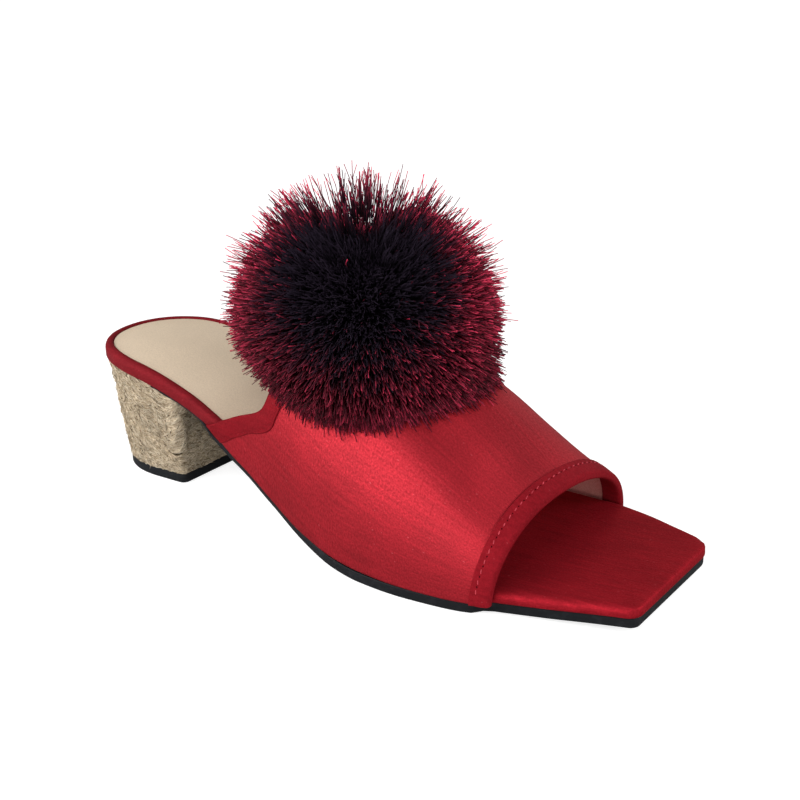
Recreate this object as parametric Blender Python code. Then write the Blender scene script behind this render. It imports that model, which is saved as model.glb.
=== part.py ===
"""Left heeled mule: satin vamp with bound edges, wrapped footbed, block heel and pompom.

Sizes are in millimetres, measured from the back of the footbed: x runs to the toe, y to the
outer (lateral) side and z up from the floor. The meshes are in metres.
"""

import math
from collections import namedtuple

import bmesh
import bpy
import numpy as np

MM = 0.001
SEAT_GAP = 0.3  # between pieces that are glued or sewn together

# Footbed, sock and outsole
TOE_MEDIAL_X = 245.0
TOE_LATERAL_X = 245.5
TOE_MEDIAL_CORNER = 3.6
TOE_LATERAL_CORNER = 7.0
HEEL_ARC_LENGTH = 34.0  # from the back to the widest part of the heel seat
HEEL_ROUNDNESS = 2.15  # 2 is an ellipse, more is squarer
FOOTBED_EDGE_RADIUS = 2.0
SOCK_THICK = 0.9
SOCK_POCKET = 1.1  # depth of the hollow in the footbed that takes the sock
SOCK_BORDER = 3.7  # satin rim left showing round the sock
SOCK_FRONT_X = 172.0
OUTSOLE_THICK = 2.5
OUTSOLE_SKIVED = 1.3  # thickness of its tail under the heel seat
OUTSOLE_TAIL_X = 36.0

# Heel and lift
HEEL_INSET = 1.2
HEEL_BREAST_TOP_X = 53.5
HEEL_BREAST_FOOT_X = 46.5
HEEL_BACK_FOOT_X = 4.4
HEEL_FOOT_HALF_WIDTH = 21.6
HEEL_BREAST_CORNER = 3.5
LIFT_THICK = 4.0

# Upper and its bindings
WALL = 1.8
UPPER_GAP = 1.2  # room between footbed and wall for the bindings' inner legs
FRONT_MEDIAL_X = 199.0
FRONT_LATERAL_X = 201.0
FRONT_CROWN_BULGE = 2.0
TAPE_THICK = 0.7
TAPE_INNER_THICK = 0.5
TOE_TAPE_WIDTH = 5.1
THROAT_TAPE_WIDTH = 6.9
TAPE_INNER_WIDTH = 6.0

# Pompom
POMPOM_RADIUS = 48.0
POMPOM_X = 124.5
POMPOM_Y = -1.0
POMPOM_Z = 80.0
POMPOM_LEAN = 0.5  # the lower half leans towards the toe, down the slope of the vamp

# Mesh steps
HEEL_ARC_STEPS = 11
SIDE_STEPS = 26
CORNER_STEPS = 5
ARCH_STEPS = 44
VAMP_STEPS = 18
FOOT_EASE = 0.6

Plan = namedtuple("Plan", "x medial lateral")  # footbed's half-widths
PLAN = (
    Plan(34, 29.9, 30.2),
    Plan(60, 29.3, 30.8),
    Plan(85, 29.6, 32.0),
    Plan(105, 33.6, 35.0),
    Plan(125, 39.6, 39.2),
    Plan(145, 44.2, 42.4),
    Plan(165, 45.8, 43.4),
    Plan(182, 44.4, 43.2),
    Plan(198, 41.2, 42.4),
    Plan(215, 37.2, 38.3),
    Plan(230, 33.6, 31.8),
    Plan(246, 30.6, 24.0),
)

Profile = namedtuple("Profile", "x top thick")  # footbed's upper face and thickness
PROFILE = (
    Profile(0, 53.0, 5.6),
    Profile(20, 51.8, 5.6),
    Profile(34, 49.8, 5.6),
    Profile(60, 41.9, 5.3),
    Profile(74, 35.2, 5.3),
    Profile(90, 26.8, 5.4),
    Profile(120, 13.9, 5.0),
    Profile(140, 8.6, 4.6),
    Profile(152, 7.3, 4.5),
    Profile(186, 7.3, 4.5),
    Profile(215, 8.5, 4.5),
    Profile(246, 11.0, 4.5),
)

Crown = namedtuple("Crown", "x height offset fullness")  # vamp's ridge and its arch
CROWN = (
    Crown(60, 96.0, 0.0, 2.2),
    Crown(105, 84.0, 0.0, 2.2),
    Crown(125, 76.5, -1.0, 2.2),
    Crown(150, 65.0, -2.0, 2.2),
    Crown(167, 55.5, -2.0, 2.15),
    Crown(180, 46.5, -3.0, 2.1),
    Crown(192, 37.0, -4.0, 2.15),
    Crown(202, 30.5, -4.0, 2.15),
    Crown(212, 26.0, -4.0, 2.15),
)

Throat = namedtuple("Throat", "x edge")  # degrees up from a foot, and the throat's place on the last
THROAT = (
    Throat(0, 70.5),
    Throat(12, 86.0),
    Throat(24, 101.4),
    Throat(30, 103.8),
    Throat(60, 110.6),
    Throat(90, 113.3),
)

OutsoleEdge = namedtuple("OutsoleEdge", "x grow")  # how far it stands out of the footbed
OUTSOLE_EDGE = (
    OutsoleEdge(30, -1.2),
    OutsoleEdge(64, -0.8),
    OutsoleEdge(72, UPPER_GAP + WALL - 0.4),
    OutsoleEdge(193, UPPER_GAP + WALL - 0.4),
    OutsoleEdge(199, -0.8),
    OutsoleEdge(246, -0.8),
)

Finish = namedtuple("Finish", "colour roughness")
SATIN = Finish((0.50, 0.012, 0.025), 0.35)
SOCK_LEATHER = Finish((0.56, 0.45, 0.31), 0.55)
BLACK_RUBBER = Finish((0.012, 0.013, 0.016), 0.6)
JUTE = Finish((0.46, 0.35, 0.20), 0.9)
DARK_FIBRE = Finish((0.07, 0.004, 0.012), 0.5)


def table_value(rows, column, x):
    """Smooth value of a table's column at x, with no overshoot between its rows."""
    xs = np.array([row.x for row in rows], float)
    ys = np.array([getattr(row, column) for row in rows], float)
    step = np.diff(xs)
    slope = np.diff(ys) / step
    tangent = np.zeros(len(xs))
    tangent[0], tangent[-1] = slope[0], slope[-1]
    for i in range(1, len(xs) - 1):
        if slope[i - 1] * slope[i] > 0:
            before = 2 * step[i] + step[i - 1]
            after = step[i] + 2 * step[i - 1]
            tangent[i] = (before + after) / (before / slope[i - 1] + after / slope[i])
    i = int(np.clip(np.searchsorted(xs, x) - 1, 0, len(step) - 1))
    t = (np.clip(x, xs[0], xs[-1]) - xs[i]) / step[i]
    return (
        (1 + 2 * t) * (1 - t) ** 2 * ys[i]
        + t * (1 - t) ** 2 * step[i] * tangent[i]
        + t * t * (3 - 2 * t) * ys[i + 1]
        + t * t * (t - 1) * step[i] * tangent[i + 1]
    )


def footbed_top(x):
    return table_value(PROFILE, "top", x)


def footbed_bottom(x):
    return footbed_top(x) - table_value(PROFILE, "thick", x)


def outsole_top(x):
    return footbed_bottom(x) - SEAT_GAP


def outsole_bottom(x):
    """The outsole is skived thin towards its tail, under the heel seat."""
    tail = np.clip((HEEL_BREAST_TOP_X - x) / (HEEL_BREAST_TOP_X - OUTSOLE_TAIL_X), 0, 1)
    return outsole_top(x) - OUTSOLE_THICK + tail * (OUTSOLE_THICK - OUTSOLE_SKIVED)


def heel_top(x):
    """The heel meets the footbed behind the outsole's tail, and the outsole in front of it."""
    behind = footbed_bottom(x) - SEAT_GAP
    under = outsole_bottom(x) - SEAT_GAP
    ramp_end = OUTSOLE_TAIL_X - SEAT_GAP
    ramp_length = 5.0
    t = np.clip((x - (ramp_end - ramp_length)) / ramp_length, 0, 1)
    return behind + t * (under - behind)


def side_line(column, start, end, corner):
    """One side of a plan outline, heel to toe: the heel's arc, the side, then a round corner."""
    points = []
    widest = table_value(PLAN, column, HEEL_ARC_LENGTH)
    if start < HEEL_ARC_LENGTH:
        for i in range(HEEL_ARC_STEPS):
            angle = math.radians(90) * (i + 0.5) / HEEL_ARC_STEPS
            x = HEEL_ARC_LENGTH * (1 - math.cos(angle) ** (2 / HEEL_ROUNDNESS))
            points.append((x, widest * math.sin(angle) ** (2 / HEEL_ROUNDNESS)))
        start = HEEL_ARC_LENGTH
    for x in np.linspace(start, end - corner, SIDE_STEPS):
        points.append((x, table_value(PLAN, column, x)))
    for i in range(1, CORNER_STEPS + 1):
        angle = math.radians(90) * i / CORNER_STEPS
        x = end - corner + corner * math.sin(angle)
        points.append((x, table_value(PLAN, column, x) - corner * (1 - math.cos(angle))))
    return np.array(points)


def plan_loop(start=0.0, medial_end=TOE_MEDIAL_X, lateral_end=TOE_LATERAL_X,
              medial_corner=TOE_MEDIAL_CORNER, lateral_corner=TOE_LATERAL_CORNER):
    """Closed outline seen from above: medial side heel to toe, then lateral side back."""
    medial = side_line("medial", start, medial_end, medial_corner) * (1, -1)
    lateral = side_line("lateral", start, lateral_end, lateral_corner)
    return np.concatenate([medial, lateral[::-1]])


def grown(loop, amount):
    """The outline moved outwards by amount, one number or one for each point."""
    ahead = np.roll(loop, -1, axis=0) - np.roll(loop, 1, axis=0)
    outward = np.stack([ahead[:, 1], -ahead[:, 0]], axis=1)
    outward /= np.linalg.norm(outward, axis=1, keepdims=True)
    return loop + outward * np.reshape(amount, (-1, 1))


def ring(loop, height):
    """The outline lifted to height(x)."""
    return [(x, y, height(x)) for x, y in loop]


def new_object(name, points, faces, finish):
    mesh = bpy.data.meshes.new(name)
    mesh.from_pydata([tuple(MM * c for c in p) for p in points], [], faces)
    work = bmesh.new()
    work.from_mesh(mesh)
    bmesh.ops.recalc_face_normals(work, faces=work.faces)
    work.to_mesh(mesh)
    work.free()
    mesh.shade_smooth()
    mesh.set_sharp_from_angle(angle=math.radians(40))
    obj = bpy.data.objects.new(name, mesh)
    bpy.context.scene.collection.objects.link(obj)
    if finish:
        mesh.materials.append(material(name, finish))
    return obj


def material(name, finish):
    made = bpy.data.materials.new(name)
    made.use_nodes = True
    shader = made.node_tree.nodes["Principled BSDF"]
    shader.inputs["Base Color"].default_value = (*finish.colour, 1)
    shader.inputs["Roughness"].default_value = finish.roughness
    shader.inputs["Metallic"].default_value = 0
    return made


def plate(name, rings, finish):
    """A closed solid of stacked rings, its ends laddered across from side to side."""
    count = len(rings[0])
    points = [p for one in rings for p in one]
    faces = []
    for k in range(len(rings) - 1):
        low, high = k * count, (k + 1) * count
        for i in range(count):
            j = (i + 1) % count
            faces.append((low + i, low + j, high + j, high + i))
    last = (len(rings) - 1) * count
    for i in range(count // 2 - 1):
        across = (i, i + 1, count - 2 - i, count - 1 - i)
        faces.append(tuple(last + k for k in across))
        faces.append(across[::-1])
    return new_object(name, points, faces, finish)


def cut_away(obj, cutter):
    """Takes the cutter's shape out of an object, and leaves the cutter as a wire helper."""
    cutter.hide_render = True
    cutter.display_type = "WIRE"
    cut = obj.modifiers.new(cutter.name, "BOOLEAN")
    cut.operation = "DIFFERENCE"
    cut.object = cutter


def arch_point(x, angle, outset=0.0):
    """A point of the vamp's outer face, or of a larger form, at angle round from the medial foot."""
    foot = footbed_bottom(x)
    crown = table_value(CROWN, "offset", x)
    power = 2 / table_value(CROWN, "fullness", x)
    reach = UPPER_GAP + WALL + outset
    medial = crown + table_value(PLAN, "medial", x) + reach
    lateral = table_value(PLAN, "lateral", x) + reach - crown
    rise = table_value(CROWN, "height", x) + outset - foot
    across = math.copysign(abs(math.cos(angle)) ** power, math.cos(angle))
    y = crown - across * (medial if across > 0 else lateral)
    return x, y, foot + rise * abs(math.sin(angle)) ** power


def front_x(angle):
    share = angle / math.pi
    edge = FRONT_MEDIAL_X + share * (FRONT_LATERAL_X - FRONT_MEDIAL_X)
    return edge + FRONT_CROWN_BULGE * math.sin(angle)


def throat_x(angle):
    """The throat runs straight over the instep, with a wing reaching back at each foot."""
    from_foot = min(angle, math.pi - angle)
    return table_value(THROAT, "edge", math.degrees(from_foot))


def arch_angles(steps=ARCH_STEPS):
    """Angles from the medial foot over to the lateral one, closer together near the feet."""
    even = np.linspace(0, 1, steps + 1)
    eased = 0.5 - 0.5 * np.cos(math.pi * even)
    return list(math.pi * (FOOT_EASE * eased + (1 - FOOT_EASE) * even))


def grid_faces(rows, columns, first=0, flip=False):
    faces = []
    for i in range(rows - 1):
        for j in range(columns - 1):
            a = first + i * columns + j
            face = (a, a + 1, a + columns + 1, a + columns)
            faces.append(face[::-1] if flip else face)
    return faces


def make_upper():
    """The vamp: one curved wall over the instep, open at throat, toe and sole."""
    angles = arch_angles()
    rows, columns = len(angles), VAMP_STEPS + 1
    points = []
    for outset in (0.0, -WALL):
        for angle in angles:
            for x in np.linspace(throat_x(angle), front_x(angle), columns):
                points.append(arch_point(x, angle, outset))
    inner = rows * columns
    faces = grid_faces(rows, columns) + grid_faces(rows, columns, inner, flip=True)
    rim = [j for j in range(columns)]
    rim += [i * columns + columns - 1 for i in range(1, rows)]
    rim += [(rows - 1) * columns + j for j in range(columns - 2, -1, -1)]
    rim += [i * columns for i in range(rows - 2, 0, -1)]
    for a, b in zip(rim, rim[1:] + rim[:1]):
        faces.append((b, a, inner + a, inner + b))
    return new_object("upper", points, faces, SATIN)


def make_binding(name, edge, into, width):
    """A tape folded over one edge of the vamp. into is +1 where the vamp lies at larger x."""
    proud = SEAT_GAP + TAPE_THICK
    inside = -WALL - SEAT_GAP
    leg = inside - TAPE_INNER_THICK
    section = (
        (width, SEAT_GAP),
        (width - 0.4, proud),
        (0.0, proud),
        (-0.8 * proud, 0.2 * inside),
        (-0.8 * proud, 0.8 * inside),
        (0.0, leg),
        (TAPE_INNER_WIDTH, leg),
        (TAPE_INNER_WIDTH, inside),
        (-SEAT_GAP, inside),
        (-SEAT_GAP, SEAT_GAP),
    )
    angles = arch_angles()
    points = []
    for angle in angles:
        stretch = edge_stretch(edge, angle)
        for depth, outset in section:
            x = edge(angle) + into * depth * stretch
            points.append(arch_point(x, angle, outset))
    count = len(section)
    faces = []
    for i in range(len(angles) - 1):
        for j in range(count):
            k = (j + 1) % count
            faces.append((i * count + j, i * count + k, (i + 1) * count + k, (i + 1) * count + j))
    end = (len(angles) - 1) * count
    faces.append(tuple(range(count))[::-1])
    faces.append(tuple(end + j for j in range(count)))
    return new_object(name, points, faces, SATIN)


def edge_stretch(edge, angle):
    """How far along x a tape reaches for each millimetre of width square to its edge."""
    small = math.radians(1)
    low, high = max(0, angle - small), min(math.pi, angle + small)
    x = edge(angle)
    along_edge = np.subtract(arch_point(edge(high), high), arch_point(edge(low), low))
    along_shoe = np.subtract(arch_point(x + 1, angle), arch_point(x - 1, angle))
    crossed = np.linalg.norm(np.cross(along_edge, along_shoe))
    return np.linalg.norm(along_edge) * abs(along_shoe[0]) / crossed


def make_footbed():
    """The footbed's board in its satin wrap, with a shallow pocket that takes the sock."""
    loop = plan_loop()
    rings = [ring(grown(loop, -0.6), footbed_bottom)]
    rings.append(ring(loop, lambda x: footbed_bottom(x) + 0.6))
    for share in (0.0, 0.33, 0.67, 1.0):
        turn = math.radians(90) * share
        inset = FOOTBED_EDGE_RADIUS * (1 - math.cos(turn))
        drop = FOOTBED_EDGE_RADIUS * (1 - math.sin(turn))
        rings.append(ring(grown(loop, -inset), lambda x, d=drop: footbed_top(x) - d))
    footbed = plate("footbed", rings, SATIN)
    room = grown(sock_loop(), SEAT_GAP)
    pocket = plate("sock_pocket", [ring(room, pocket_floor), ring(room, above_footbed)], None)
    cut_away(footbed, pocket)
    return [footbed, pocket]


def pocket_floor(x):
    return footbed_top(x) - SOCK_POCKET


def above_footbed(x):
    return footbed_top(x) + 5.0


def sock_loop():
    end = SOCK_FRONT_X + SOCK_BORDER
    return grown(plan_loop(0.0, end, end, 6.0, 6.0), -SOCK_BORDER)


def make_sock():
    loop = sock_loop()
    rings = [
        ring(loop, lambda x: pocket_floor(x) + SEAT_GAP),
        ring(loop, lambda x: pocket_floor(x) + SEAT_GAP + 0.6 * SOCK_THICK),
        ring(grown(loop, -0.4), lambda x: pocket_floor(x) + SEAT_GAP + SOCK_THICK),
    ]
    return plate("sock_lining", rings, SOCK_LEATHER)


def make_outsole():
    loop = plan_loop(OUTSOLE_TAIL_X)
    edge = grown(loop, [table_value(OUTSOLE_EDGE, "grow", x) for x, _ in loop])
    rings = [
        ring(grown(edge, -0.5), outsole_bottom),
        ring(edge, lambda x: outsole_bottom(x) + 0.5),
        ring(edge, outsole_top),
    ]
    return plate("outsole", rings, BLACK_RUBBER)


def heel_loops():
    """The heel's outlines under the seat and at the lift. The foot's is the top's, drawn in."""
    top = plan_loop(0.0, HEEL_BREAST_TOP_X, HEEL_BREAST_TOP_X, HEEL_BREAST_CORNER, HEEL_BREAST_CORNER)
    top = grown(top, -HEEL_INSET)
    back, breast = top[:, 0].min(), top[:, 0].max()
    half_width = np.abs(top[:, 1]).max()
    foot = top.copy()
    foot[:, 0] = HEEL_BACK_FOOT_X + (top[:, 0] - back) * (
        (HEEL_BREAST_FOOT_X - HEEL_BACK_FOOT_X) / (breast - back)
    )
    foot[:, 1] *= HEEL_FOOT_HALF_WIDTH / half_width
    return top, foot


def make_heel():
    top, foot = heel_loops()
    base = LIFT_THICK + SEAT_GAP
    rings = []
    for share in np.linspace(0, 1, 6):
        loop = foot + share * (top - foot)
        heights = [base + share * (heel_top(x) - base) for x, _ in top]
        rings.append([(x, y, z) for (x, y), z in zip(loop, heights)])
    return plate("heel", rings, JUTE)


def make_lift():
    _, foot = heel_loops()
    rings = [
        ring(grown(foot, -0.5), lambda x: 0.0),
        ring(foot, lambda x: 0.5),
        ring(foot, lambda x: LIFT_THICK),
    ]
    return plate("heel_lift", rings, BLACK_RUBBER)


def arch_form(name, start, end, outset):
    """A filled block of the vamp's arch, used to cut what sits on the vamp."""
    angles = arch_angles(36)
    stations = np.linspace(start, end, 16)
    columns = len(angles)
    points = [arch_point(x, angle, outset) for x in stations for angle in angles]
    faces = grid_faces(len(stations), columns)
    for i in range(len(stations) - 1):
        a, b = i * columns, (i + 1) * columns
        faces.append((a, b, b + columns - 1, a + columns - 1))
    last = (len(stations) - 1) * columns
    faces.append(tuple(range(columns)))
    faces.append(tuple(last + j for j in range(columns))[::-1])
    return new_object(name, points, faces, None)


def make_pompom():
    """The pompom's outer shape: a ball resting on the instep, hollowed where it sits on the vamp."""
    mesh = bpy.data.meshes.new("pompom")
    work = bmesh.new()
    bmesh.ops.create_uvsphere(work, u_segments=36, v_segments=20, radius=POMPOM_RADIUS * MM)
    for vert in work.verts:
        depth = max(0.0, -vert.co.z)
        vert.co.x += POMPOM_LEAN * depth**2 / (POMPOM_RADIUS * MM)
    bmesh.ops.translate(work, vec=(POMPOM_X * MM, POMPOM_Y * MM, POMPOM_Z * MM), verts=work.verts)
    work.to_mesh(mesh)
    work.free()
    mesh.shade_smooth()
    mesh.materials.append(material("pompom", DARK_FIBRE))
    ball = bpy.data.objects.new("pompom", mesh)
    bpy.context.scene.collection.objects.link(ball)
    proud = SEAT_GAP + TAPE_THICK
    tape_end = THROAT[-1].edge + THROAT_TAPE_WIDTH + SEAT_GAP
    seats = (
        arch_form("vamp_seat", 62.0, 208.0, SEAT_GAP),
        arch_form("throat_seat", 60.0, tape_end, proud + SEAT_GAP),
    )
    for seat in seats:
        cut_away(ball, seat)
    return [ball, *seats]


def main():
    for old in list(bpy.data.objects):
        bpy.data.objects.remove(old, do_unlink=True)
    pieces = [
        make_outsole(),
        *make_footbed(),
        make_sock(),
        make_heel(),
        make_lift(),
        make_upper(),
        make_binding("toe_binding", front_x, -1, TOE_TAPE_WIDTH),
        make_binding("throat_binding", throat_x, 1, THROAT_TAPE_WIDTH),
        *make_pompom(),
    ]
    shoe = bpy.data.objects.new("shoe", None)
    shoe.location = (-0.5 * TOE_LATERAL_X * MM, -POMPOM_Y * MM, 0)
    bpy.context.scene.collection.objects.link(shoe)
    for piece in pieces:
        piece.parent = shoe


main()
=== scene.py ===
import math

import bmesh
import bpy
import numpy as np
from mathutils import Matrix, Quaternion, Vector, noise


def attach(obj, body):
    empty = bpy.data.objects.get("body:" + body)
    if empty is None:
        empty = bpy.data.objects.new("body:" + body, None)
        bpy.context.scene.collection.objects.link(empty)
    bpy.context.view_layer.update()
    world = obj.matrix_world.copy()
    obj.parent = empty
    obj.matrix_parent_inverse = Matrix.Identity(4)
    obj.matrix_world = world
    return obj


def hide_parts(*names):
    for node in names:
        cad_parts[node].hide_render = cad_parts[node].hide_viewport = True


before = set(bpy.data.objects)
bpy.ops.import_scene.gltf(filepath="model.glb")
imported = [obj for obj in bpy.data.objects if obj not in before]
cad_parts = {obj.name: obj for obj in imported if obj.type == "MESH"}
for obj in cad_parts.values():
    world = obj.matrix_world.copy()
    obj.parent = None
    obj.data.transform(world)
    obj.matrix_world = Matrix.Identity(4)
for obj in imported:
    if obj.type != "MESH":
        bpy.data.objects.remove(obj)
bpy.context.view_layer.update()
rng = np.random.default_rng(37)


def addPiece(mesh, name, nodes=(), materials=()):
    piece = bpy.data.objects.new(name, mesh)
    bpy.context.scene.collection.objects.link(piece)
    for material in materials:
        mesh.materials.append(material)
    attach(piece, "root")
    if nodes:
        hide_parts(*nodes)
    return piece


def finishMesh(bm, name, sharpAngle=40):
    mesh = bpy.data.meshes.new(name)
    bm.to_mesh(mesh)
    bm.free()
    mesh.shade_smooth()
    mesh.set_sharp_from_angle(angle=math.radians(sharpAngle))
    return mesh


def smoothStep(low, high, value):
    t = np.clip((value - low) / (high - low), 0, 1)
    return t * t * (3 - 2 * t)


lastShape = {  # mm from the back of the footbed, on the heel's centre line
    "originX": 122.75,
    "originY": -1.0,
    "plan": [  # x, medial and lateral half-width of the footbed
        (34, 29.9, 30.2), (60, 29.3, 30.8), (85, 29.6, 32.0), (105, 33.6, 35.0),
        (125, 39.6, 39.2), (145, 44.2, 42.4), (165, 45.8, 43.4), (182, 44.4, 43.2),
        (198, 41.2, 42.4), (215, 37.2, 38.3), (230, 33.6, 31.8), (246, 30.6, 24.0)],
    "profile": [  # x, top and thickness of the footbed
        (0, 53.0, 5.6), (20, 51.8, 5.6), (34, 49.8, 5.6), (60, 41.9, 5.3), (74, 35.2, 5.3), (90, 26.8, 5.4),
        (120, 13.9, 5.0), (140, 8.6, 4.6), (152, 7.3, 4.5), (186, 7.3, 4.5), (215, 8.5, 4.5),
        (246, 11.0, 4.5)],
    "crown": [  # x, height, side shift and fullness of the vamp's arch
        (60, 96.0, 0.0, 2.2), (105, 84.0, 0.0, 2.2), (125, 76.5, -1.0, 2.2),
        (150, 65.0, -2.0, 2.2), (167, 55.5, -2.0, 2.15), (180, 46.5, -3.0, 2.1),
        (192, 37.0, -4.0, 2.15), (202, 30.5, -4.0, 2.15), (212, 26.0, -4.0, 2.15)],
    "heelArc": 34.0,
    "heelRoundness": 2.15,
    "toeMedial": (245.0, 3.6),  # x of the toe's edge and its corner radius
    "toeLateral": (244.9, 7.0),
}


def smoothColumn(rows, column):
    xs = np.array([row[0] for row in rows], float)
    ys = np.array([row[column] for row in rows], float)
    step = np.diff(xs)
    slope = np.diff(ys) / step
    tangent = np.concatenate([[slope[0]], np.zeros(len(slope) - 1), [slope[-1]]])
    for i in range(1, len(slope)):
        if slope[i - 1] * slope[i] > 0:
            before, after = 2 * step[i] + step[i - 1], step[i] + 2 * step[i - 1]
            tangent[i] = (before + after) / (before / slope[i - 1] + after / slope[i])
    dense = np.linspace(xs[0], xs[-1], 900)
    i = np.clip(np.searchsorted(xs, dense) - 1, 0, len(step) - 1)
    t = (dense - xs[i]) / step[i]
    values = ((1 + 2 * t) * (1 - t) ** 2 * ys[i] + t * (1 - t) ** 2 * step[i] * tangent[i]
              + t * t * (3 - 2 * t) * ys[i + 1] + t * t * (t - 1) * step[i] * tangent[i + 1])
    return dense, values


def lastAt(name, x):
    return np.interp(x, *lastCurves[name])


def footbedBottom(x):
    return lastAt("top", x) - lastAt("thick", x)


def toRow(points):  # mm on the last to metres in the shared frame
    shift = np.array([lastShape["originX"], lastShape["originY"], 0.0])
    return (np.asarray(points, float) - shift) * 0.001


def sideLine(name, end, corner, steps, start=0.0):
    points = []
    arc, roundness = lastShape["heelArc"], lastShape["heelRoundness"]
    if start < arc:
        widest = lastAt(name, arc)
        for angle in np.radians(90) * (np.arange(28) + 0.5) / 28:
            points.append((arc * (1 - math.cos(angle) ** (2 / roundness)),
                           widest * math.sin(angle) ** (2 / roundness)))
        start = arc
    points += [(x, lastAt(name, x)) for x in np.linspace(start, end - corner, steps)]
    for angle in np.radians(90) * np.arange(1, 9) / 8:
        x = end - corner + corner * math.sin(angle)
        points.append((x, lastAt(name, x) - corner * (1 - math.cos(angle))))
    return np.array(points)


def planLoop(medialEnd=None, lateralEnd=None, steps=64, start=0.0):
    medial = sideLine("medial", *(medialEnd or lastShape["toeMedial"]), steps, start) * (1, -1)
    lateral = sideLine("lateral", *(lateralEnd or lastShape["toeLateral"]), steps, start)
    return np.concatenate([medial, lateral[::-1]])


def grownLoop(loop, amount):
    ahead = np.roll(loop, -1, axis=0) - np.roll(loop, 1, axis=0)
    outward = np.stack([ahead[:, 1], -ahead[:, 0]], axis=1)
    outward /= np.linalg.norm(outward, axis=1, keepdims=True)
    return loop + outward * np.reshape(amount, (-1, 1))


vampShape = {
    "wall": 1.8, "footGap": 1.2, "footLift": math.radians(1.1), "footCrowd": 0.6,
    "frontMedial": 199.0, "frontLateral": 201.0, "frontBulge": 2.0,
    "throat": [(0, 70.5), (12, 86.0), (24, 101.4), (30, 103.8), (60, 110.6), (90, 113.3)],  # degrees up from a foot, x
    "skirt": [  # x, how far the satin comes down over the sole's edge
        (60, -1.2), (69, -0.9), (78, 0.7), (90, 1.9), (108, 1.9), (150, 0.0), (215, 0.0)],
    "skirtFade": (0.16, 0.0),  # share of the arch's height
    "hug": 1.1, "hugSpan": (86, 70),
    "swells": [  # soft shapes pressed into the satin: degrees, x, length and width in mm, depth in mm
        (58, 150, 30, 15, 0.35), (40, 128, 26, 10, -0.3), (75, 176, 22, 14, -0.3), (118, 160, 34, 16, 0.3)],
    "mmPerDegree": 0.8, "clothPerRadian": 42.0,
    "around": 150, "along": 120,
}


lastCurves = {
    "medial": smoothColumn(lastShape["plan"], 1),
    "lateral": smoothColumn(lastShape["plan"], 2),
    "top": smoothColumn(lastShape["profile"], 1),
    "thick": smoothColumn(lastShape["profile"], 2),
    "crown": smoothColumn(lastShape["crown"], 1),
    "shift": smoothColumn(lastShape["crown"], 2),
    "fullness": smoothColumn(lastShape["crown"], 3),
    "skirt": smoothColumn(vampShape["skirt"], 1),
    "throat": smoothColumn(vampShape["throat"], 1),
}


def archPoint(x, angle, outset=0.0):
    foot = footbedBottom(x)
    shift = lastAt("shift", x)
    power = 2 / lastAt("fullness", x)
    hug = vampShape["hug"] * smoothStep(*vampShape["hugSpan"], x)
    reach = vampShape["footGap"] + vampShape["wall"] + outset - hug
    medial = shift + lastAt("medial", x) + reach
    lateral = lastAt("lateral", x) + reach - shift
    rise = lastAt("crown", x) + outset - foot
    across = np.sign(np.cos(angle)) * np.abs(np.cos(angle)) ** power
    y = shift - across * np.where(across > 0, medial, lateral)
    up = np.abs(np.sin(angle)) ** power
    z = foot + rise * up - lastAt("skirt", x) * smoothStep(*vampShape["skirtFade"], up)
    return np.stack(np.broadcast_arrays(x, y, z), axis=-1)


def frontEdge(angle):
    medial, lateral = vampShape["frontMedial"], vampShape["frontLateral"]
    return medial + angle / math.pi * (lateral - medial) + vampShape["frontBulge"] * np.sin(angle)


def throatEdge(angle):
    return lastAt("throat", np.degrees(np.minimum(angle, math.pi - angle)))


def archAngle(share):  # closer together near the feet
    eased = 0.5 - 0.5 * np.cos(math.pi * share)
    lift, crowd = vampShape["footLift"], vampShape["footCrowd"]
    return lift + (math.pi - 2 * lift) * (crowd * eased + (1 - crowd) * share)


def insideArch(points, outset):  # below 1 is inside the vamp's form
    x, y, z = points.T
    foot, shift = footbedBottom(x), lastAt("shift", x)
    reach = vampShape["footGap"] + vampShape["wall"] + outset
    medial = shift + lastAt("medial", x) + reach
    lateral = lastAt("lateral", x) + reach - shift
    across = (y - shift) / np.where(y < shift, medial, lateral)
    up = np.maximum(z - foot, 0) / (lastAt("crown", x) + outset - foot)
    power = lastAt("fullness", x)
    return (np.abs(across) ** power + up ** power) ** (1 / power)


def liftOffVamp(points, clearance):
    lowest = 0.15  # keeps the push of deep points in bounds
    level = np.maximum(insideArch(points, clearance), lowest)
    foot, shift = footbedBottom(points[:, 0]), lastAt("shift", points[:, 0])
    push = np.where((level < 1) & (points[:, 2] > foot), 1 / level, 1.0)
    lifted = points.copy()
    lifted[:, 1] = shift + (points[:, 1] - shift) * push
    lifted[:, 2] = foot + (points[:, 2] - foot) * push
    return lifted


def newMaterial(name):
    material = bpy.data.materials.new(name)
    material.use_nodes = True
    tree = material.node_tree
    return material, tree, tree.nodes["Principled BSDF"]


def addNode(tree, kind, values=None, **settings):
    node = tree.nodes.new(kind)
    for key, value in settings.items():
        setattr(node, key, value)
    for key, value in (values or {}).items():
        node.inputs[key].default_value = value
    return node


def objectCoords(tree):
    return tree.nodes.new("ShaderNodeTexCoord").outputs["Object"]


def addNoise(tree, vector, scale, detail, rough=0.5):
    node = addNode(tree, "ShaderNodeTexNoise", {"Scale": scale, "Detail": detail, "Roughness": rough})
    tree.links.new(vector, node.inputs["Vector"])
    return node.outputs["Fac"]


def addRamp(tree, source, stops):
    node = tree.nodes.new("ShaderNodeValToRGB")
    ramp = node.color_ramp
    while len(ramp.elements) < len(stops):
        ramp.elements.new(0.5)
    for element, (place, value) in zip(ramp.elements, stops):
        element.position = place
        element.color = (value, value, value, 1) if np.isscalar(value) else (*value, 1)
    tree.links.new(source, node.inputs["Fac"])
    return node.outputs["Color"]


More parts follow.
